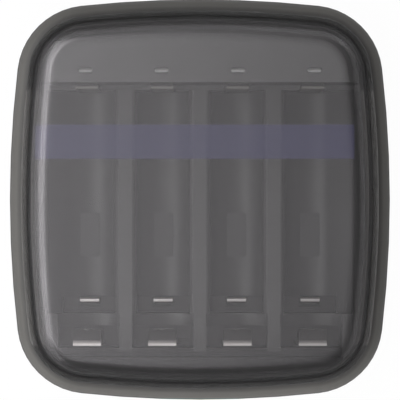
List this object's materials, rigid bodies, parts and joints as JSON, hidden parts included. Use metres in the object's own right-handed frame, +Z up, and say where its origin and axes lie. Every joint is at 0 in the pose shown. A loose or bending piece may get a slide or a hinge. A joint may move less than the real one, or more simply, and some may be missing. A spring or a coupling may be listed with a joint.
{
  "type": "aa battery charger",
  "caption": "Desk charger for AA and AAA cells: squircle case with a flared base, troughs with leaf contacts, a row of status lights and a lift-off smoked cover.",
  "frame": {"origin": "on the table, under the middle of the case", "axes": "+X across the bays, +Y towards the status lights and the power inlet, +Z up, the way the cover lifts"},
  "size_m": [0.0792, 0.0834, 0.031],
  "materials": {
    "case": "satin dark grey moulding",
    "deck": "finely textured dark grey moulding",
    "cover": "smoked see-through plastic",
    "board": "dark green solder resist",
    "contact": "nickel-plated spring strip",
    "light_pipe": "clear light guide",
    "status_light": "light chip",
    "inlet": "drawn shell",
    "black_plastic": "moulded",
    "ferrite": "ferrite",
    "can": "drawn can",
    "screw": "zinc plated",
    "rubber": "moulded rubber"
  },
  "bodies": {
    "charger": {"base_shell": "case", "bay_deck": "deck", "circuit_board": "board", "positive_contact_1": "contact", "positive_contact_2": "contact", "positive_contact_3": "contact", "positive_contact_4": "contact", "light_pipe_1": "light_pipe", "light_pipe_2": "light_pipe", "light_pipe_3": "light_pipe", "light_pipe_4": "light_pipe", "status_light_1": "status_light", "status_light_2": "status_light", "status_light_3": "status_light", "status_light_4": "status_light", "inlet_shell": "inlet", "inlet_tongue": "black_plastic", "charge_controller": "black_plastic", "charge_transistors": "black_plastic", "sense_resistors": "black_plastic", "inductor": "ferrite", "input_capacitor": "can", "output_capacitor": "can", "case_screws": "screw", "rubber_feet": "rubber"},
    "cover": {"cover": "cover"},
    "aa_leaf_1": {"aa_contact_1": "contact"},
    "aaa_leaf_1": {"aaa_contact_1": "contact"},
    "aa_leaf_2": {"aa_contact_2": "contact"},
    "aaa_leaf_2": {"aaa_contact_2": "contact"},
    "aa_leaf_3": {"aa_contact_3": "contact"},
    "aaa_leaf_3": {"aaa_contact_3": "contact"},
    "aa_leaf_4": {"aa_contact_4": "contact"},
    "aaa_leaf_4": {"aaa_contact_4": "contact"}
  },
  "joints": [
    {"name": "cover_lift", "type": "slide", "parent": "charger", "child": "cover", "axis": [0, 0, 1], "range_m": [0, 0.03]},
    {"name": "aa_flex_1", "type": "hinge", "parent": "charger", "child": "aa_leaf_1", "pos_m": [-0.02295, -0.0299, 0.0082], "axis": [1, 0, 0], "range_deg": [0, 8.8], "stiffness_Nm_per_rad": 0.2},
    {"name": "aaa_flex_1", "type": "hinge", "parent": "charger", "child": "aaa_leaf_1", "pos_m": [-0.02295, -0.0216, 0.0077], "axis": [1, 0, 0], "range_deg": [0, 28], "stiffness_Nm_per_rad": 0.02},
    {"name": "aa_flex_2", "type": "hinge", "parent": "charger", "child": "aa_leaf_2", "pos_m": [-0.00765, -0.0299, 0.0082], "axis": [1, 0, 0], "range_deg": [0, 8.8], "stiffness_Nm_per_rad": 0.2},
    {"name": "aaa_flex_2", "type": "hinge", "parent": "charger", "child": "aaa_leaf_2", "pos_m": [-0.00765, -0.0216, 0.0077], "axis": [1, 0, 0], "range_deg": [0, 28], "stiffness_Nm_per_rad": 0.02},
    {"name": "aa_flex_3", "type": "hinge", "parent": "charger", "child": "aa_leaf_3", "pos_m": [0.00765, -0.0299, 0.0082], "axis": [1, 0, 0], "range_deg": [0, 8.8], "stiffness_Nm_per_rad": 0.2},
    {"name": "aaa_flex_3", "type": "hinge", "parent": "charger", "child": "aaa_leaf_3", "pos_m": [0.00765, -0.0216, 0.0077], "axis": [1, 0, 0], "range_deg": [0, 28], "stiffness_Nm_per_rad": 0.02},
    {"name": "aa_flex_4", "type": "hinge", "parent": "charger", "child": "aa_leaf_4", "pos_m": [0.02295, -0.0299, 0.0082], "axis": [1, 0, 0], "range_deg": [0, 8.8], "stiffness_Nm_per_rad": 0.2},
    {"name": "aaa_flex_4", "type": "hinge", "parent": "charger", "child": "aaa_leaf_4", "pos_m": [0.02295, -0.0216, 0.0077], "axis": [1, 0, 0], "range_deg": [0, 28], "stiffness_Nm_per_rad": 0.02}
  ]
}
